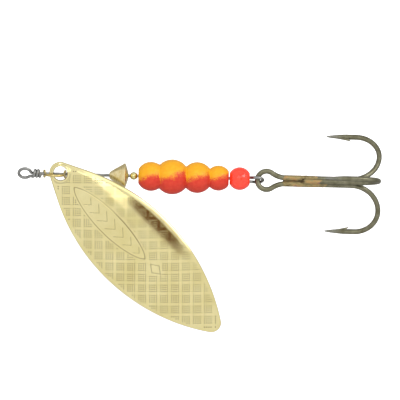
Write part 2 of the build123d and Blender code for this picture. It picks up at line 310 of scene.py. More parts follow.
def blade_gold():
    s = Surface("blade_gold", (0.79, 0.70, 0.35), 1.0, 0.12)
    cloud = s.noise(0.16, 3)
    grain = s.noise(5, 3)
    plate = s.ramp(cloud, (0.3, (0.77, 0.67, 0.31)), (0.7, (0.84, 0.75, 0.40)))
    # Painted shade: a dark brown mixed into the plating in the dimples, the engraved lines, round the
    # hole's collar and along the edges.
    s.link(s.mix(s.attribute("pit_shade"), plate, (0.13, 0.065, 0.01)), "Base Color")
    s.link(s.ramp(grain, (0.3, 0.08), (0.75, 0.16)), "Roughness")
    s.bump(grain, 0.004)
    return s.material


def weight_paint():
    s = Surface("weight_paint", (0.75, 0.25, 0.06), 0.0, 0.34, Specular_IOR_Level=0.35)
    speckle = s.noise(5.5, 2, roughness=0.7)
    drift = s.noise(0.45, 2)
    spray = s.attribute("spray")
    wide = s.math("MULTIPLY", s.math("SUBTRACT", speckle, 0.5), 1.1)
    slow = s.math("MULTIPLY", s.math("SUBTRACT", drift, 0.5), 0.5)
    cover = s.math("ADD", spray, s.math("ADD", wide, slow))
    yellow = s.ramp(s.noise(1.2, 3), (0.3, (0.72, 0.31, 0.003)), (0.7, (0.78, 0.37, 0.008)))
    red = s.ramp(s.noise(1.0, 3), (0.3, (0.53, 0.026, 0.011)), (0.7, (0.60, 0.042, 0.018)))
    s.link(s.mix(s.ramp(cover, (0.40, 0.0), (0.60, 1.0)), yellow, red), "Base Color")
    s.link(s.ramp(speckle, (0.3, 0.32), (0.75, 0.48)), "Roughness")
    s.bump(speckle, 0.012)
    return s.material


def tail_bead_plastic():
    # The faint red emission is a painted glow for the plastic's fluorescence: the bead shines with no lamp
    # on it.
    s = Surface(
        "tail_bead_plastic", (0.9, 0.05, 0.02), 0.0, 0.16,
        Subsurface_Weight=0.35, Subsurface_Scale=0.0015, Coat_Weight=0.4, Coat_Roughness=0.08,
        Emission_Strength=0.12,
    )
    s.shader.inputs["Subsurface Radius"].default_value = (1.0, 0.35, 0.2)
    s.shader.inputs["Emission Color"].default_value = (1.0, 0.12, 0.06, 1)
    cloud = s.noise(0.5, 2)
    s.link(s.ramp(cloud, (0.3, (0.78, 0.024, 0.006)), (0.7, (0.86, 0.036, 0.012))), "Base Color")
    s.bump(s.noise(1.5, 2), 0.008)
    return s.material


def hook_bronze():
    s = Surface("hook_bronze", (0.17, 0.15, 0.10), 1.0, 0.34)
    stain = s.noise(0.7, 4)
    drawn = s.noise(5, 4, (6, 1, 1))
    worn = s.attribute("bare")
    bronze = s.ramp(stain, (0.3, (0.15, 0.14, 0.085)), (0.7, (0.26, 0.25, 0.17)))
    s.link(s.mix(worn, bronze, (0.30, 0.30, 0.27)), "Base Color")
    s.link(s.ramp(drawn, (0.3, 0.27), (0.75, 0.45)), "Roughness")
    s.bump(drawn, 0.015)
    return s.material


def braze_copper():
    s = Surface("braze_copper", (0.42, 0.31, 0.15), 1.0, 0.42)
    patch = s.noise(0.75, 4, (2, 1, 1), 0.6)
    grit = s.noise(4, 4)
    metal = s.ramp(
        patch,
        (0.34, (0.10, 0.07, 0.04)),
        (0.43, (0.25, 0.19, 0.09)),
        (0.52, (0.38, 0.31, 0.15)),
        (0.60, (0.50, 0.32, 0.13)),
        (0.68, (0.38, 0.23, 0.17)),
    )
    # Painted shade: near black in the groove between the double hook's two shanks.
    s.link(s.mix(s.attribute("groove_shade"), metal, (0.07, 0.05, 0.03)), "Base Color")
    s.link(s.ramp(grit, (0.3, 0.32), (0.75, 0.6)), "Roughness")
    s.bump(grit, 0.05)
    return s.material


def plain(name, color, roughness=0.9, glow=0.0):
    s = Surface(name, color, 0.0, roughness)
    s.shader.inputs["Emission Color"].default_value = (*color, 1)
    s.shader.inputs["Emission Strength"].default_value = glow
    return s.material


# ---------------------------------------------------------------- meshes


def as_object(name, vertices, faces, attributes=None):
    """A smooth mesh object in millimetres, with named per-vertex numbers."""
    mesh = bpy.data.meshes.new(name)
    mesh.from_pydata([tuple(v) for v in vertices], [], faces)
    for label, values in (attributes or {}).items():
        layer = mesh.attributes.new(label, "FLOAT", "POINT")
        layer.data.foreach_set("value", np.asarray(values, np.float32))
    work = bmesh.new()
    work.from_mesh(mesh)
    bmesh.ops.recalc_face_normals(work, faces=work.faces)
    work.to_mesh(mesh)
    work.free()
    mesh.shade_smooth()
    thing = bpy.data.objects.new(name, mesh)
    bpy.context.scene.collection.objects.link(thing)
    return thing


def bake(thing):
    """Applies the object's modifiers to its mesh."""
    bpy.context.view_layer.update()
    shown = thing.evaluated_get(bpy.context.evaluated_depsgraph_get())
    mesh = bpy.data.meshes.new_from_object(shown)
    thing.modifiers.clear()
    thing.data = mesh
    mesh.shade_smooth()
    return thing


def boolean(thing, other, kind):
    modifier = thing.modifiers.new(kind, "BOOLEAN")
    modifier.operation = kind
    modifier.solver = "EXACT"
    modifier.object = other
    bake(thing)
    bpy.data.objects.remove(other)


def place(thing, body, node, slot, material):
    """Puts a piece made in millimetres into the frame in place of its CAD node."""
    thing.data.transform(Matrix.Scale(MM, 4))
    thing.data.materials.clear()
    thing.data.materials.append(material)
    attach(thing, body)
    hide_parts(node)
    return thing


def roughen(thing, lump):
    """Moves each vertex along its normal by lump(place)."""
    moves = [vertex.normal * lump(vertex.co) for vertex in thing.data.vertices]
    for vertex, move in zip(thing.data.vertices, moves):
        vertex.co += move


def unit(v):
    return v / np.linalg.norm(v)


def arc(start, direction, end, step=0.12):
    """Points of the arc that leaves start along direction and ends at end, without its start."""
    start, end = np.asarray(start, float), np.asarray(end, float)
    chord = end - start
    side = chord - direction * chord.dot(direction)
    if np.linalg.norm(side) < 1e-7:
        count = max(2, round(np.linalg.norm(chord) / (3 * step)))
        return [start + chord * k / count for k in range(1, count + 1)], direction
    side = unit(side)
    turn = 2 * math.atan2(chord.dot(side), chord.dot(direction))
    radius = np.linalg.norm(chord) / (2 * math.sin(turn / 2))
    count = max(3, math.ceil(abs(turn) * radius / step), math.ceil(abs(turn) / math.radians(6)))
    centre = start + side * radius
    points = []
    for k in range(1, count + 1):
        a = turn * k / count
        points.append(centre + radius * (direction * math.sin(a) - side * math.cos(a)))
    return points, direction * math.cos(turn) + side * math.sin(turn)


class Path:
    """A line of points that grows by straight runs and tangent arcs."""

    def __init__(self, start, direction):
        self.points = [np.asarray(start, float)]
        self.direction = unit(np.asarray(direction, float))

    def to(self, end):
        run, self.direction = arc(self.points[-1], self.direction, end)
        self.points += run
        return self

    def bridge(self, end, end_direction):
        """Two arcs to end that arrive along end_direction."""
        p0, p1 = self.points[-1], np.asarray(end, float)
        t0, t1 = self.direction, unit(np.asarray(end_direction, float))
        v = p1 - p0
        t = t0 + t1
        bend = 2 * (1 - t0.dot(t1))
        if bend < 1e-9:
            d = v.dot(v) / (2 * v.dot(t))
        else:
            d = (math.sqrt(v.dot(t) ** 2 + bend * v.dot(v)) - v.dot(t)) / bend
        self.to((p0 + p1 + (t0 - t1) * d) / 2)
        self.to(p1)
        self.direction = t1
        return self


def rings(points, radii, sides):
    """Circles across a line of points, turned along it without twist."""
    points = np.array(points)
    tangents = np.gradient(points, axis=0)
    tangents /= np.linalg.norm(tangents, axis=1)[:, None]
    normal = unit(np.cross(tangents[0], (0.3, 0.5, 0.81)))
    found = []
    for point, tangent, radius in zip(points, tangents, radii):
        normal = unit(normal - tangent * normal.dot(tangent))
        other = np.cross(tangent, normal)
        angles = 2 * math.pi * np.arange(sides) / sides
        circle = np.outer(np.cos(angles), normal) + np.outer(np.sin(angles), other)
        found.append(point + radius * circle)
    return found


def skin(loops):
    """Vertices and faces of a closed skin over loops of equal size."""
    sides = len(loops[0])
    vertices = np.concatenate(loops)
    faces = []
    for k in range(len(loops) - 1):
        a, b = k * sides, (k + 1) * sides
        faces += [(a + i, a + (i + 1) % sides, b + (i + 1) % sides, b + i) for i in range(sides)]
    faces.append(tuple(range(sides))[::-1])
    faces.append(tuple(range(len(vertices) - sides, len(vertices))))
    return vertices, faces


def wire(points, radius, sides=20, ends=(0.08, 0.08)):
    """A wire along points, whose radius is a number or one for each point, with cut ends
    whose edges are rounded by ends."""
    points = [np.asarray(p, float) for p in points]
    radii = np.full(len(points), radius) if isinstance(radius, float) else np.array(radius)
    for at_end, size in ((0, ends[0]), (1, ends[1])):
        order = points[::-1] if at_end else points
        sizes = radii[::-1] if at_end else radii
        out = unit(order[0] - order[1])
        base, full = order[0], sizes[0]
        runs = np.cumsum([0.0] + [np.linalg.norm(q - p) for p, q in zip(order, order[1:])])
        steps = [(1.0, 1.0), (0.6, 0.92), (0.2, 0.71), (0.0, 0.38)]
        extra = [(base - out * size * s, full - size * (1 - q)) for s, q in steps]
        extra = extra[::-1]
        kept = [(p, r) for p, r, run in zip(order, sizes, runs) if run > size * 1.05]
        merged = extra + kept
        order, sizes = [p for p, _ in merged], [r for _, r in merged]
        points = order[::-1] if at_end else order
        radii = np.array(sizes[::-1] if at_end else sizes)
    return skin(rings(points, radii, sides))


def lathe(profile, segments=96):
    """Vertices and faces of a closed outline in x and radius, turned about the shaft."""
    profile = np.array(profile)
    count = len(profile)
    vertices = []
    for k in range(segments):
        a = 2 * math.pi * k / segments
        vertices += [(x, r * math.cos(a), r * math.sin(a)) for x, r in profile]
    faces = []
    for k in range(segments):
        a, b = k * count, (k + 1) % segments * count
        faces += [(a + i, a + (i + 1) % count, b + (i + 1) % count, b + i) for i in range(count)]
    return vertices, faces


def round_corners(corners, steps=4):
    """An outline in x and radius with each corner (x, r, rounding) rounded off."""
    points = []
    for k, (x, r, size) in enumerate(corners):
        here = np.array((x, r))
        before = np.array(corners[k - 1][:2]) - here
        after = np.array(corners[(k + 1) % len(corners)][:2]) - here
        if size == 0:
            points.append(here)
            continue
        a, b = here + unit(before) * size, here + unit(after) * size
        for s in np.linspace(0, 1, steps + 1):
            points.append((1 - s) ** 2 * a + 2 * s * (1 - s) * here + s**2 * b)
    return points


# ---------------------------------------------------------------- shaft wire


def neck_of_circle(circle_r, neck_y, length):
    fillet_r = (length**2 - circle_r**2 + neck_y**2) / (2 * (circle_r - neck_y))
    share = circle_r / (circle_r + fillet_r)
    return length * share, (neck_y + fillet_r) * share


def shaft_wire(material):
    across = np.array((0, math.cos(EYE_TURN), math.sin(EYE_TURN)))
    over = np.array((0, -math.sin(EYE_TURN), math.cos(EYE_TURN)))
    ahead = np.array((1.0, 0, 0))

    def at(x, a, o):
        return ahead * x + across * a + over * o

    far = np.array((0, *LOOP_STRAND))
    near = np.array((0, *PAIR_STRAND))
    side = np.array((0, LOOP_Y, 0))
    path = Path(ahead * TAIL_END_X + side - near, ahead)
    path.to(ahead * PAIR_X + side - near)
    path.bridge(ahead * LOOP_X + side - far, ahead)
    path.to(ahead * LOOP_X + side + far)
    path.bridge(ahead * PAIR_X + side + near, -ahead)
    path.to(ahead * AXIS_RETURN[0] + side + near)
    path.bridge(ahead * AXIS_RETURN[1], -ahead)
    leave_x, leave_a = neck_of_circle(EYE_R, 0, EYE_NECK_X)
    path.to(at(EYE_NECK_X, 0, 0)).to(at(leave_x, leave_a, 0))
    eye_end = at(EYE_R * math.cos(EYE_END_ANGLE), EYE_R * math.sin(EYE_END_ANGLE), 0)
    path.to(eye_end)
    lead = WRAP_PITCH / (2 * math.pi)
    path.bridge(at(WRAP_START_X, 0, WRAP_PITCH), ahead * lead + across * WRAP_PITCH)
    turn = 2 * math.pi * WRAP_TURNS
    for a in np.arange(math.radians(6), turn + 0.01, math.radians(6)):
        path.points.append(at(WRAP_START_X + lead * a, WRAP_PITCH * math.sin(a), WRAP_PITCH * math.cos(a)))
    thing = as_object("shaft_wire_fine", *wire(path.points, WIRE_R, 20, (0.07, 0.04)))
    return place(thing, "shaft", "shaft_wire", "shaft_steel", material)


# ---------------------------------------------------------------- clevis


def remesh(thing, size):
    modifier = thing.modifiers.new("voxels", "REMESH")
    modifier.mode = "VOXEL"
    modifier.voxel_size = size
    return bake(thing)


def relax(thing, rounds, share=0.5):
    modifier = thing.modifiers.new("relax", "SMOOTH")
    modifier.factor = share
    modifier.iterations = rounds
    return bake(thing)


def join(name, parts):
    """One object of several vertex and face lists."""
    vertices, faces = [], []
    for part_vertices, part_faces in parts:
        start = len(vertices)
        vertices += [tuple(v) for v in part_vertices]
        faces += [tuple(start + i for i in face) for face in part_faces]
    return as_object(name, vertices, faces)


def clevis(material):
    middle = (CLEVIS_REAR_X + CLEVIS_FRONT_X) / 2
    reach = middle - CLEVIS_FRONT_X
    half = reach - CLEVIS_LEG_Z * math.tan(CLEVIS_SPLAY)
    rise = half * (1 - math.sin(CLEVIS_SPLAY)) / math.cos(CLEVIS_SPLAY)

    def leg(side, z):
        return np.array((middle + side * (reach - z * math.tan(CLEVIS_SPLAY)), 0, z))

    foot = 0.75
    up = unit(leg(-1, CLEVIS_LEG_Z) - leg(-1, foot))
    path = Path(leg(-1, foot), up)
    path.to(leg(-1, CLEVIS_LEG_Z)).to(np.array((middle, 0, CLEVIS_LEG_Z + rise)))
    path.to(leg(1, CLEVIS_LEG_Z)).to(leg(1, foot))
    parts = [wire(path.points, CLEVIS_WIRE_R, 24)]
    for side in (-1, 1):
        out = np.array((math.cos(CLEVIS_SPLAY), 0, side * math.sin(CLEVIS_SPLAY)))
        centre = leg(side, 0)
        line = [centre + out * s * CLEVIS_EAR_T / 2 for s in (-1, -0.5, 0.5, 1)]
        parts.append(wire(line, CLEVIS_EAR_R, 48, (0.06, 0.06)))
    thing = remesh(join("clevis_fine", parts), 0.055)
    relax(thing, 6)
    bore = join("bore", [wire([(2, 0, 0), (8, 0, 0), (14, 0, 0)], CLEVIS_BORE_R, 40)])
    boolean(thing, bore, "DIFFERENCE")
    thing.data.transform(Matrix.Rotation(CLEVIS_LEAN, 4, "X"))
    return place(thing, "clevis", "clevis", "clevis_brass", material)


# ---------------------------------------------------------------- blade


def blade_rim(spacing=0.45):
    """Points round the blade's edge, with the outward direction at each."""
    sin_f, cos_f = math.sin(BLADE_FLANK), math.cos(BLADE_FLANK)
    side = np.array((-BLADE_HEAD_R * sin_f, BLADE_HEAD_R * cos_f))
    rise = side[1] + (BLADE_WIDEST_U - side[0]) * sin_f / cos_f
    side_r = (rise - BLADE_HALF_WIDTH) / (1 / cos_f - 1)
    centre_w = BLADE_TIP_SIDE_R - BLADE_HALF_WIDTH
    span = BLADE_REACH - BLADE_WIDEST_U
    tip_r = (BLADE_TIP_SIDE_R**2 - centre_w**2 - span**2) / (2 * (BLADE_TIP_SIDE_R - span))
    tip_u = BLADE_REACH - tip_r
    tip_angle = math.atan2(centre_w, tip_u - BLADE_WIDEST_U)
    square = math.pi / 2
    flank = square + BLADE_FLANK
    arcs = [
        ((0, 0), BLADE_HEAD_R, math.pi, flank),
        ((BLADE_WIDEST_U, BLADE_HALF_WIDTH - side_r), side_r, flank, square),
        ((BLADE_WIDEST_U, -centre_w), BLADE_TIP_SIDE_R, square, tip_angle),
        ((tip_u, 0), tip_r, tip_angle, 0),
    ]
    points, outs = [], []
    for k, (centre, radius, first, last) in enumerate(arcs):
        fine = spacing if radius > 10 else spacing * 0.6
        count = max(6, round(abs(first - last) * radius / fine))
        for a in np.linspace(first, last, count + 1)[:-1]:
            out = np.array((math.cos(a), math.sin(a)))
            points.append(np.array(centre) + radius * out)
            outs.append(out)
        if k == 0:
            end = np.array(arcs[1][0]) + side_r * np.array((math.cos(flank), math.sin(flank)))
            run = np.linalg.norm(end - side)
            for s in np.arange(0, run, spacing)[:-1]:
                points.append(side + (end - side) * s / run)
                outs.append(np.array((-sin_f, cos_f)))
    points.append(np.array((BLADE_REACH, 0)))
    outs.append(np.array((1.0, 0)))
    flip = np.array((1, -1))
    points += [p * flip for p in points[-2:0:-1]]
    outs += [o * flip for o in outs[-2:0:-1]]
    return np.array(points), np.array(outs)


def blade_height(u, w, above):
    """Height of a layer of the blade that lies above its middle surface."""
    lift = BLADE_WIDEST_U**2 / (2 * BLADE_LONG_R)
    dome = np.sqrt((BLADE_CROSS_R + above) ** 2 - w**2) - BLADE_CROSS_R
    return lift - BLADE_LONG_R + np.sqrt((BLADE_LONG_R + dome) ** 2 - (u - BLADE_WIDEST_U) ** 2)


def leaf_ring(grow, count=150):
    """The emblem's pointed oval, larger all round by grow."""
    first, last, half = LEAF
    turns = 2 * math.pi * np.arange(count) / count
    along = (last - first) / 2 + grow * 1.8
    u = (first + last) / 2 + along * np.cos(turns)
    w = (half + grow) * np.sin(turns) * np.abs(np.sin(turns)) ** 0.35
    return np.stack([u, w], 1)


def in_leaf(points, grow):
    first, last, half = LEAF
    along = (points[:, 0] - (first + last) / 2) / ((last - first) / 2 + grow * 1.8)
    across = np.abs(points[:, 1]) / (half + grow)
    inside = np.abs(along) < 1
    limit = (1 - np.clip(along, -1, 1) ** 2) ** (1.35 / 2)
    return inside & (across < limit)


class Drawing:
    """Points and creases of the blade in its own plane. Each point has a height above the
    plain top, a height for the back and how much painted shade darkens it in a recess."""

    def __init__(self):
        self.points, self.facts, self.creases = [], [], []

    def add(self, points, top, back, pit_shade=0.0, closed=True, crease=True):
        start = len(self.points)
        count = len(points)
        self.points += [tuple(p) for p in points]
        tops = np.broadcast_to(top, count)
        backs = np.broadcast_to(back, count)
        pit_shades = np.broadcast_to(pit_shade, count)
        self.facts += list(zip(tops, backs, pit_shades))
        if crease:
            last = count if closed else count - 1
            self.creases += [(start + i, start + (i + 1) % count) for i in range(last)]
        return list(range(start, start + count))

    def groove(self, line, closed=True):
        """An engraved line, where line(g) is the line moved aside by g: a bed between two
        banks, with the plain sheet beside them."""
        for aside in (-1.4, -1.0, 0.0, 1.0, 1.4):
            points = line(aside * LINE_HALF)
            bed = np.full(len(points), 1.0 if aside == 0 else 0.0)
            if not closed:
                bed[0] = bed[-1] = 0.0
            # The bed of each engraved line is darkened with painted shade.
            self.add(points, -LINE_DEPTH * bed, -LINE_DEPTH * 0.3 * bed, 0.9 * bed, closed)

    def fill(self, candidates, gap):
        """Plain points wherever nothing is nearer than gap, so that no face spans far."""
        tree = kdtree.KDTree(len(self.points))
        for k, (u, w) in enumerate(self.points):
            tree.insert((u, w, 0), k)
        tree.balance()
        free = [p for p in candidates if tree.find((p[0], p[1], 0))[2] > gap]
        self.add(free, 0.0, 0.0, crease=False)


def chevron(apex_u, half_w):
    """An open V across the blade's axis, pointing to the tip."""
    s = np.linspace(-1, 1, 15)
    return np.stack([apex_u - np.abs(s) * half_w * 1.1, s * half_w], 1)


def diamond_ring(centre_u, long, wide):
    corners = np.array([(long, 0), (0, wide), (-long, 0), (0, -wide)])
    points = []
    for a, b in zip(corners, np.roll(corners, -1, axis=0)):
        points += [a + (b - a) * s for s in np.linspace(0, 1, 7)[:-1]]
    return np.array(points) + np.array((centre_u, 0))


def draw_blade(rim, outs):
    """The flat layout: rim, hole, emblem and the stamped field."""
    sheet = Drawing()
    outer = sheet.add(rim - outs * EDGE_ROUND, 0.0, 0.0)
    sheet.add(rim - outs * 0.36, 0.0, 0.0)
    sheet.add(rim - outs * 0.62, 0.0, 0.0)

    turns = 2 * math.pi * np.arange(56) / 56
    circle = np.stack([np.cos(turns), np.sin(turns)], 1)
    hole = sheet.add(circle * (BLADE_HOLE_R + 0.14), 0.07, 0.0)
    for radius, height in ((2.1, 0.09), (2.32, 0.07), (2.5, 0.0)):
        # The collar's foot, the outermost ring, gets some painted shade.
        sheet.add(circle * radius, height, 0.0, 0.3 if height == 0 else 0.0)

    sheet.groove(leaf_ring)
    first, last, half = LEAF
    for k in range(7):
        apex = first + 6.3 + 3.0 * k
        share = 1 - ((apex - 1.5 - (first + last) / 2) / ((last - first) / 2)) ** 2
        half_w = half * share**0.675 * 0.66
        sheet.groove(lambda g: chevron(apex + g, half_w), closed=False)
    sheet.groove(lambda g: diamond_ring(last + 4.0, 1.9 + g * 1.7, 1.3 + g))

    reach = int(BLADE_REACH / DIMPLE_PITCH)
    across = np.array((1, 1)) / math.sqrt(2) * DIMPLE_PITCH
    down = np.array((1, -1)) / math.sqrt(2) * DIMPLE_PITCH
    order = [(i, j) for i in range(-reach, reach) for j in range(-reach, reach)]
    grid = np.array([i * across + j * down for i, j in order])
    stamped = np.array([i % DIMPLE_GROUP > 0 and j % DIMPLE_GROUP > 0 for i, j in order])
    near = (np.abs(grid[:, 1]) < BLADE_HALF_WIDTH) & (grid[:, 0] > -BLADE_HEAD_R)
    near &= grid[:, 0] < BLADE_REACH
    grid, stamped = grid[near], stamped[near]
    nearest = np.linalg.norm(grid[:, None] - rim[None], axis=2).argmin(1)
    depth_in = ((rim[nearest] - grid) * outs[nearest]).sum(1)
    clear_hole = np.linalg.norm(grid, axis=1) > 2.5 + DIMPLE_R + 0.1
    clear_leaf = ~in_leaf(grid, LINE_HALF + DIMPLE_R + 0.2)
    off = np.abs(grid - np.array((last + 4.0, 0)))
    clear_diamond = off[:, 0] / 2.9 + off[:, 1] / 2.1 > 1
    room = depth_in > RIM_PLAIN + DIMPLE_R
    cells = grid[room & clear_hole & clear_leaf & clear_diamond & stamped]
    rng = np.random.default_rng(4)
    for cell, depth in zip(cells, rng.uniform(0.8, 1.1, len(cells)) * DIMPLE_DEPTH):
        for sides, share, sink in ((8, 1.12, 0.0), (8, 1.0, 0.0), (8, 0.7, 0.8), (1, 0.0, 1.0)):
            a = 2 * math.pi * np.arange(sides) / sides + math.pi / 8
            ring = cell + share * DIMPLE_R * np.stack([np.cos(a), np.sin(a)], 1)
            # The sunk rings of each dimple are darkened fully with painted shade.
            sheet.add(ring, -depth * sink, -depth * 0.35 * sink, sink > 0, crease=False)
    plain_grid = grid[(depth_in > 0.85) & (np.linalg.norm(grid, axis=1) > 2.7)]
    sheet.fill(plain_grid, 0.3)
    return sheet, outer, hole


def turned_down(points, rim, outs):
    """How far the press has turned the sheet down at each point near the edge."""
    tree = kdtree.KDTree(len(rim))
    for k, (u, w) in enumerate(rim):
        tree.insert((u, w, 0), k)
    tree.balance()
    near = np.array([tree.find((u, w, 0))[1] for u, w in points])
    depth = ((rim[near] - points) * outs[near]).sum(1)
    return RIM_DROP * np.clip(1 - depth / RIM_WIDTH, 0, 1) ** 2


def blade(material):
    rim, outs = blade_rim()
    sheet, outer, hole = draw_blade(rim, outs)
    flat = [Vector(p) for p in sheet.points]
    found = geometry.delaunay_2d_cdt(flat, sheet.creases, [], 0, 1e-6)
    flat_out, triangles, origins = found[0], found[2], found[3]
    uw = np.array([tuple(p) for p in flat_out])
    facts = np.array([sheet.facts[o[0]] if o else (0, 0, 0) for o in origins])
    where = {o: k for k, group in enumerate(origins) for o in group}
    centres = uw[np.array(triangles)].mean(1)
    solid = np.linalg.norm(centres, axis=1) > BLADE_HOLE_R + 0.12
    triangles = [tuple(t) for t, keep in zip(triangles, solid) if keep]

    count = len(uw)
    tops, backs = (facts[:, k] - turned_down(uw, rim, outs) for k in (0, 1))
    top = np.column_stack([uw, blade_height(uw[:, 0], uw[:, 1], BLADE_HALF_T + tops)])
    back = np.column_stack([uw, blade_height(uw[:, 0], uw[:, 1], -BLADE_HALF_T + backs)])
    vertices = [top, back]
    faces = triangles + [tuple(count + i for i in t[::-1]) for t in triangles]
    pit_shades = list(facts[:, 2]) + [0.0] * count
    start = 2 * count

    def close_edge(top_ring, points_at, lift):
        """The rounded edge between a ring of the top and the same ring of the back."""
        nonlocal start, faces
        loops = [top_ring]
        for inset, level in ((0.3, 0.78), (0.0, 0.35), (0.0, -0.35), (0.3, -0.78)):
            ring = points_at(inset * EDGE_ROUND)
            layer = level * BLADE_HALF_T + lift
            vertices.append(np.column_stack([ring, blade_height(ring[:, 0], ring[:, 1], layer)]))
            loops.append(list(range(start, start + len(ring))))
            start += len(ring)
            # The rounded edges of the rim and the hole get a little painted shade.
            pit_shades.extend([0.15] * len(ring))
        loops.append([count + i for i in top_ring])
        for a, b in zip(loops, loops[1:]):
            n = len(a)
            faces += [(a[i], a[(i + 1) % n], b[(i + 1) % n], b[i]) for i in range(n)]

    edge_drop = RIM_DROP * (1 - EDGE_ROUND / RIM_WIDTH) ** 2
    close_edge([where[i] for i in outer], lambda inset: rim - outs * inset, -edge_drop)
    turns = 2 * math.pi * np.arange(len(hole)) / len(hole)
    circle = np.stack([np.cos(turns), np.sin(turns)], 1)
    close_edge([where[i] for i in hole], lambda inset: circle * (BLADE_HOLE_R + inset), 0.0)

    thing = as_object("blade_fine", np.concatenate(vertices), faces, {"pit_shade": pit_shades})
    yaw, pitch, roll = (math.radians(a) for a in BLADE_TURNS)
    turn = Matrix.Rotation(yaw, 4, "Z") @ Matrix.Rotation(pitch, 4, "Y") @ Matrix.Rotation(roll, 4, "X")
    thing.data.transform(Matrix.Translation(BLADE_HOLE) @ turn)
    return place(thing, "blade", "blade", "blade_gold", material)


# ---------------------------------------------------------------- bell, beads and weight


def bell(material):
    low, high = (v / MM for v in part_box("bell"))
    radius = high.y
    profile = round_corners([
        (low.x, BORE_R, 0.0),
        (low.x, 0.8, 0.12),
        (low.x + 1.4, 1.78, 0.5),
        (low.x + 2.9, 2.62, 0.5),
        (BELL_SKIRT_X - 0.1, radius, 0.07),
        (BELL_SKIRT_X + 0.06, radius, 0.05),
        (BELL_SKIRT_X + 0.32, radius * 0.86, 0.2),
        (high.x - 0.1, radius * 0.34, 0.3),
        (high.x, BORE_R + 0.16, 0.06),
        (high.x - 0.02, BORE_R, 0.0),
    ])
    thing = as_object("bell_fine", *lathe(profile))
    return place(thing, "bell", "bell", "bell_brass", material)


def drilled_ball(x, radius, half_length, bore_r, rounding):
    """Outline of a ball with flat drilled ends."""
    flat_r = math.sqrt(radius**2 - half_length**2)
    first = math.atan2(flat_r, -half_length)
    last = math.atan2(flat_r, half_length)
    angles = np.linspace(first, last, 40)[1:-1]
    crown = [(x + radius * math.cos(a), radius * math.sin(a), 0.0) for a in angles]
    corners = [(x - half_length, bore_r, rounding), (x - half_length, flat_r, rounding * 0.5)]
    corners += crown
    corners += [(x + half_length, flat_r, rounding * 0.5), (x + half_length, bore_r, rounding)]
    return round_corners(corners)


def ball_piece(node, body, slot, half_length, bore_r, rounding, material):
    low, high = (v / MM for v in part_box(node))
    outline = drilled_ball((low.x + high.x) / 2, high.y, half_length, bore_r, rounding)
    thing = as_object(node + "_fine", *lathe(outline, 72))
    return place(thing, body, node, slot, material)


def weight(material):
    first, last = WEIGHT_ENDS
    step = 0.12
    xs = np.linspace(first, last, round((last - first) / step))
    balls = [np.sqrt(np.clip(r**2 - (xs - x) ** 2, 0, None)) for x, r in BULBS]
    radii = balls[0]
    fillet = 0.35
    for ball in balls[1:]:
        blend = np.clip(0.5 + (radii - ball) / (2 * fillet), 0, 1)
        radii = ball + (radii - ball) * blend + fillet * blend * (1 - blend) * 0.9
    radii = np.maximum(radii, 0.5)
    corners = [(first, BORE_R, 0.0), (first, BORE_R + 0.14, 0.1)]
    corners += [(first, radii[0], 0.25)]
    corners += [(x, r, 0.0) for x, r in zip(xs[3:-3], radii[3:-3])]
    corners += [(last, radii[-1], 0.25), (last, BORE_R + 0.14, 0.1), (last, BORE_R, 0.0)]
    vertices, faces = lathe(round_corners(corners), 128)
    thing = as_object("body_weight_fine", vertices, faces)
    aim = Vector((0.32, -1.0, 0.05)).normalized()
    spray = [0.5 + 0.95 * vertex.normal.dot(aim) for vertex in thing.data.vertices]
    layer = thing.data.attributes.new("spray", "FLOAT", "POINT")
    layer.data.foreach_set("value", spray)
    roughen(thing, lambda p: 0.022 * noise.noise(p * 0.9) if math.hypot(p.y, p.z) > 1 else 0)
    return place(thing, "weight", "body_weight", "weight_paint", material)


# ---------------------------------------------------------------- treble


def hook_arm(start, out_degrees):
    """The path from a shank's start to the point's tip, the outward way and the tip."""
    angle = math.radians(out_degrees)
    away = np.array((0, math.sin(angle), math.cos(angle)))
    ahead = np.array((1.0, 0, 0))
    shank = np.array((0, start[1], start[2]))
    step = shank.dot(away)

    def at(x, distance):
        return shank + ahead * x + away * (distance - step)

    path = Path(start, ahead)
    path.to(at(BEND_FAR_X - (BEND_OUT - step), step))
    path.to(at(BEND_FAR_X, BEND_OUT))
    path.to(at(BEND_FAR_X - POINT_BEND_R, BEND_OUT + POINT_BEND_R))
    base = at(POINT_X + POINT_LENGTH, BEND_OUT + POINT_BEND_R)
    path.to(base)
    path.to(at(POINT_X, BEND_OUT + POINT_BEND_R))
    return path.points, away, base


def hook_radii(points):
    """Wire radius along an arm's points: full, then drawn down to the needle point."""
    run = np.concatenate([[0], np.cumsum(np.linalg.norm(np.diff(points, axis=0), axis=1))])
    left = (run[-1] - run) / POINT_TAPER
    taper = np.clip(left, 0, 1)
    return np.where(left > 1, HOOK_R, 0.035 + (HOOK_R - 0.035) * taper**0.56), left


def barb(base, away):
    """The raised barb on a point's inner side, as vertices and faces."""
    root, tip = BARB_X
    inner = -away
    ahead = np.array((1.0, 0, 0))
    side = np.cross(ahead, inner)
    loops = []
    for s in np.linspace(0, 1, 9):
        x = root + (tip - root) * s
        floor = 0.2 + 0.45 * s**1.3
        crest = 0.5 + (BARB_OUT - 0.5) * s**1.1
        lower = floor + max(0.0, s - 0.72) / 0.28 * (crest - floor) * 0.93
        half = 0.32 * (1 - 0.72 * s)
        centre = np.array((x, base[1], base[2]))
        shoulder = crest - 0.05
        corners = [(lower, -half), (lower, half)]
        corners += [(shoulder, half * 0.9), (crest, 0), (shoulder, -half * 0.9)]
        loops.append(np.array([centre + inner * a + side * b for a, b in corners]))
    return skin(loops)


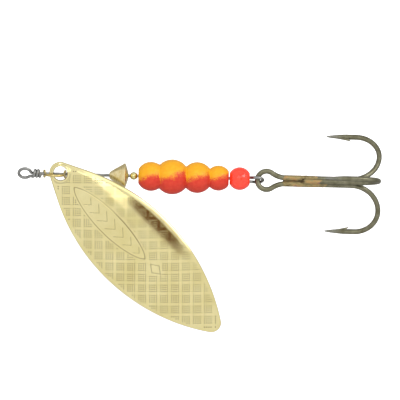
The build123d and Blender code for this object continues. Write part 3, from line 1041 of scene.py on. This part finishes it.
def barb_cut(base, away):
    """The chisel's cut behind the barb, taken out of the wire."""
    inner = -away
    ahead = np.array((1.0, 0, 0))
    side = np.cross(ahead, inner)
    tip = BARB_X[1]
    shape = [(tip - 1.25, 0.44), (tip + 0.25, 0.66), (tip + 0.35, 1.05), (tip - 0.35, 0.74)]
    loops = []
    for b in (-0.8, 0.8):
        centre = np.array((0, base[1], base[2]))
        loops.append(np.array([centre + ahead * x + inner * a + side * b for x, a in shape]))
    return skin(loops)


def mark_bare(thing, tips):
    """Where the bronze finish has worn to bright steel: the points and the barbs."""
    values = []
    for vertex in thing.data.vertices:
        gap = min((vertex.co - Vector(tip)).length for tip in tips)
        values.append(max(0.0, min(1.0, 1.1 - gap / 4.5)) * 0.85)
    layer = thing.data.attributes.new("bare", "FLOAT", "POINT")
    layer.data.foreach_set("value", values)


def finish_hooks(thing, arms, node, material):
    """Cuts and raises the barbs and puts the wire in place."""
    for _, away, base in arms:
        boolean(thing, join("cut", [barb_cut(base, away)]), "DIFFERENCE")
        boolean(thing, join("barb", [barb(base, away)]), "UNION")
    mark_bare(thing, [points[-1] for points, _, _ in arms])
    thing.data.transform(Matrix.Translation((0, TREBLE_Y, 0)))
    return place(thing, "treble", node, "hook_bronze", material)


def double_hook(material):
    arms = [hook_arm((NECK_X, side * SHANK_Y, 0), side * 120 + HOOK_TURN) for side in (1, -1)]
    leave_x, leave_y = neck_of_circle(HOOK_EYE_R, SHANK_Y, NECK_X - HOOK_EYE_X)
    radii = [hook_radii(points)[0] for points, _, _ in arms]
    eye = Path((NECK_X, SHANK_Y, 0), (-1, 0, 0))
    eye.to((HOOK_EYE_X + leave_x, leave_y, 0)).to((HOOK_EYE_X + leave_x, -leave_y, 0))
    eye.to((NECK_X, -SHANK_Y, 0))
    points = arms[0][0][::-1] + eye.points[1:-1] + arms[1][0]
    sizes = list(radii[0][::-1]) + [HOOK_R] * (len(eye.points) - 2) + list(radii[1])
    thing = as_object("double_hook_fine", *wire(points, sizes, 22, (0.01, 0.01)))
    return finish_hooks(thing, arms, "double_hook", material)


def single_hook(material):
    arm = hook_arm((SINGLE_FRONT_X, 0, SINGLE_Z), HOOK_TURN)
    sizes = hook_radii(arm[0])[0]
    thing = as_object("single_hook_fine", *wire(arm[0], list(sizes), 22, (0.12, 0.01)))
    return finish_hooks(thing, [arm], "single_hook", material)


def braze(material):
    """A lumpy coat over the three shanks that fills the grooves between them."""
    first, last = BRAZE_X
    parts = []
    shanks = (
        (SHANK_Y, 0, first, last - 1.8),
        (-SHANK_Y, 0, first, last),
        (0, SINGLE_Z, SINGLE_FRONT_X - 0.4, last - 0.7),
    )
    for y, z, start, end in shanks:
        xs = np.arange(start, end + 0.01, 0.4)
        coat = 0.07 * np.clip((xs - xs[0]) / 1.2, 0, 1) - 0.12 * np.clip(1 - (xs[-1] - xs) / 3.5, 0, 1)
        parts.append(wire([(x, y, z) for x in xs], list(HOOK_R + coat), 28, (0.05, 0.05)))
    web = [(x, 0, -0.02) for x in np.arange(first + 0.4, last - 0.3, 0.4)]
    parts.append(wire(web, 0.42, 24))
    saddle = [(x, 0, SINGLE_Z * 0.5) for x in np.arange(SINGLE_FRONT_X - 0.9, last - 0.4, 0.4)]
    parts.append(wire(saddle, 0.72, 24, (0.3, 0.2)))
    thing = relax(remesh(join("braze_fine", parts), 0.1), 5)
    roughen(thing, lambda p: 0.05 * noise.noise(p * 1.1) + 0.025 * noise.noise(p * 3.1))
    # Painted shade along the groove between the double hook's two shanks, ending where the single hook's
    # shank starts.
    groove_shade = [
        max(0.0, 1 - abs(v.co.y + 0.1 * noise.noise(v.co)) / 0.3) * min(1.0, max(0.0, 74.5 - v.co.x))
        for v in thing.data.vertices
    ]
    layer = thing.data.attributes.new("groove_shade", "FLOAT", "POINT")
    layer.data.foreach_set("value", groove_shade)
    thing.data.transform(Matrix.Translation((0, TREBLE_Y, 0)))
    return place(thing, "treble", "braze", "braze_copper", material)


# ---------------------------------------------------------------- the scene

frame_photo()
shaft_wire(shaft_steel())
clevis(brass("clevis_brass", (0.58, 0.44, 0.15), (0.76, 0.62, 0.29), 0.24))
blade(blade_gold())
bell(brass("bell_brass", (0.72, 0.57, 0.25), (0.86, 0.73, 0.41), 0.28, (0.4, 6, 6)))
bead_brass = brass("bead_brass", (0.70, 0.62, 0.25), (0.80, 0.73, 0.36), 0.12)
ball_piece("spacer_bead", "spacer_bead", "bead_brass", SPACER_HALF_LENGTH, BORE_R, 0.1, bead_brass)
weight(weight_paint())
bead_plastic = tail_bead_plastic()
ball_piece(
    "tail_bead", "tail_bead", "tail_bead_plastic",
    TAIL_BEAD_HALF_LENGTH, TAIL_BEAD_BORE_R, 0.12, bead_plastic,
)
bronze = hook_bronze()
double_hook(bronze)
single_hook(bronze)
braze(braze_copper())

FLOOR_DROP = 0.042  # the turned blade and the swung treble stay clear of it
FLOOR_SIZE = 1.5
CARD_Z = 0.40
BLADE_CARD_TURN = -42  # the cards that the blade mirrors lie along it
floor_middle = (0.046, -0.014, cad_low.z - FLOOR_DROP)
floor_white = plain("floor_white", (0.9, 0.9, 0.9), glow=0.5)
stage_plane("floor", floor_middle, FLOOR_SIZE, FLOOR_SIZE, floor_white)
floor = bpy.data.objects["floor"]
floor.visible_glossy = False
floor.visible_diffuse = False
under_floor = (*floor_middle[:2], floor_middle[2] - 0.0002)
grey_floor = reflected("floor_reflected", under_floor, (FLOOR_SIZE, FLOOR_SIZE), (0.5, 0.5, 0.5))
grey_floor.visible_diffuse = True
blade_cards = (
    ("dark_card", (0.183, 0.012), (0.064, 0.052), (0.13, 0.055, 0.012)),
    ("bright_card", (0.062, 0.062), (0.055, 0.048), (2.2, 2.2, 2.1)),
)
for name, middle, halves, color in blade_cards:
    reflected(name, (*middle, CARD_Z), halves, color, BLADE_CARD_TURN)
reflected("rim_card", (0.150, 0.175, CARD_Z), (0.120, 0.040), (1.7, 1.7, 1.65), 0)
soft_light("ceiling", (0.0, 0.15, 0.5), (0.045, 0, 0), 0.4, 1.5).visible_glossy = False
soft_light("side", (0.50, 0.30, 0.42), (0.03, -0.01, 0), 0.30, 0.9)
soft_light("spark", (-0.10, 0.16, 0.45), (0.03, 0, 0), 0.05, 0.05)

world = bpy.data.worlds.new("studio")
bpy.context.scene.world = world
world.use_nodes = True
background = world.node_tree.nodes["Background"].inputs
background["Color"].default_value = (1, 1, 1, 1)
background["Strength"].default_value = 0.92
bpy.context.scene.view_settings.view_transform = "Standard"
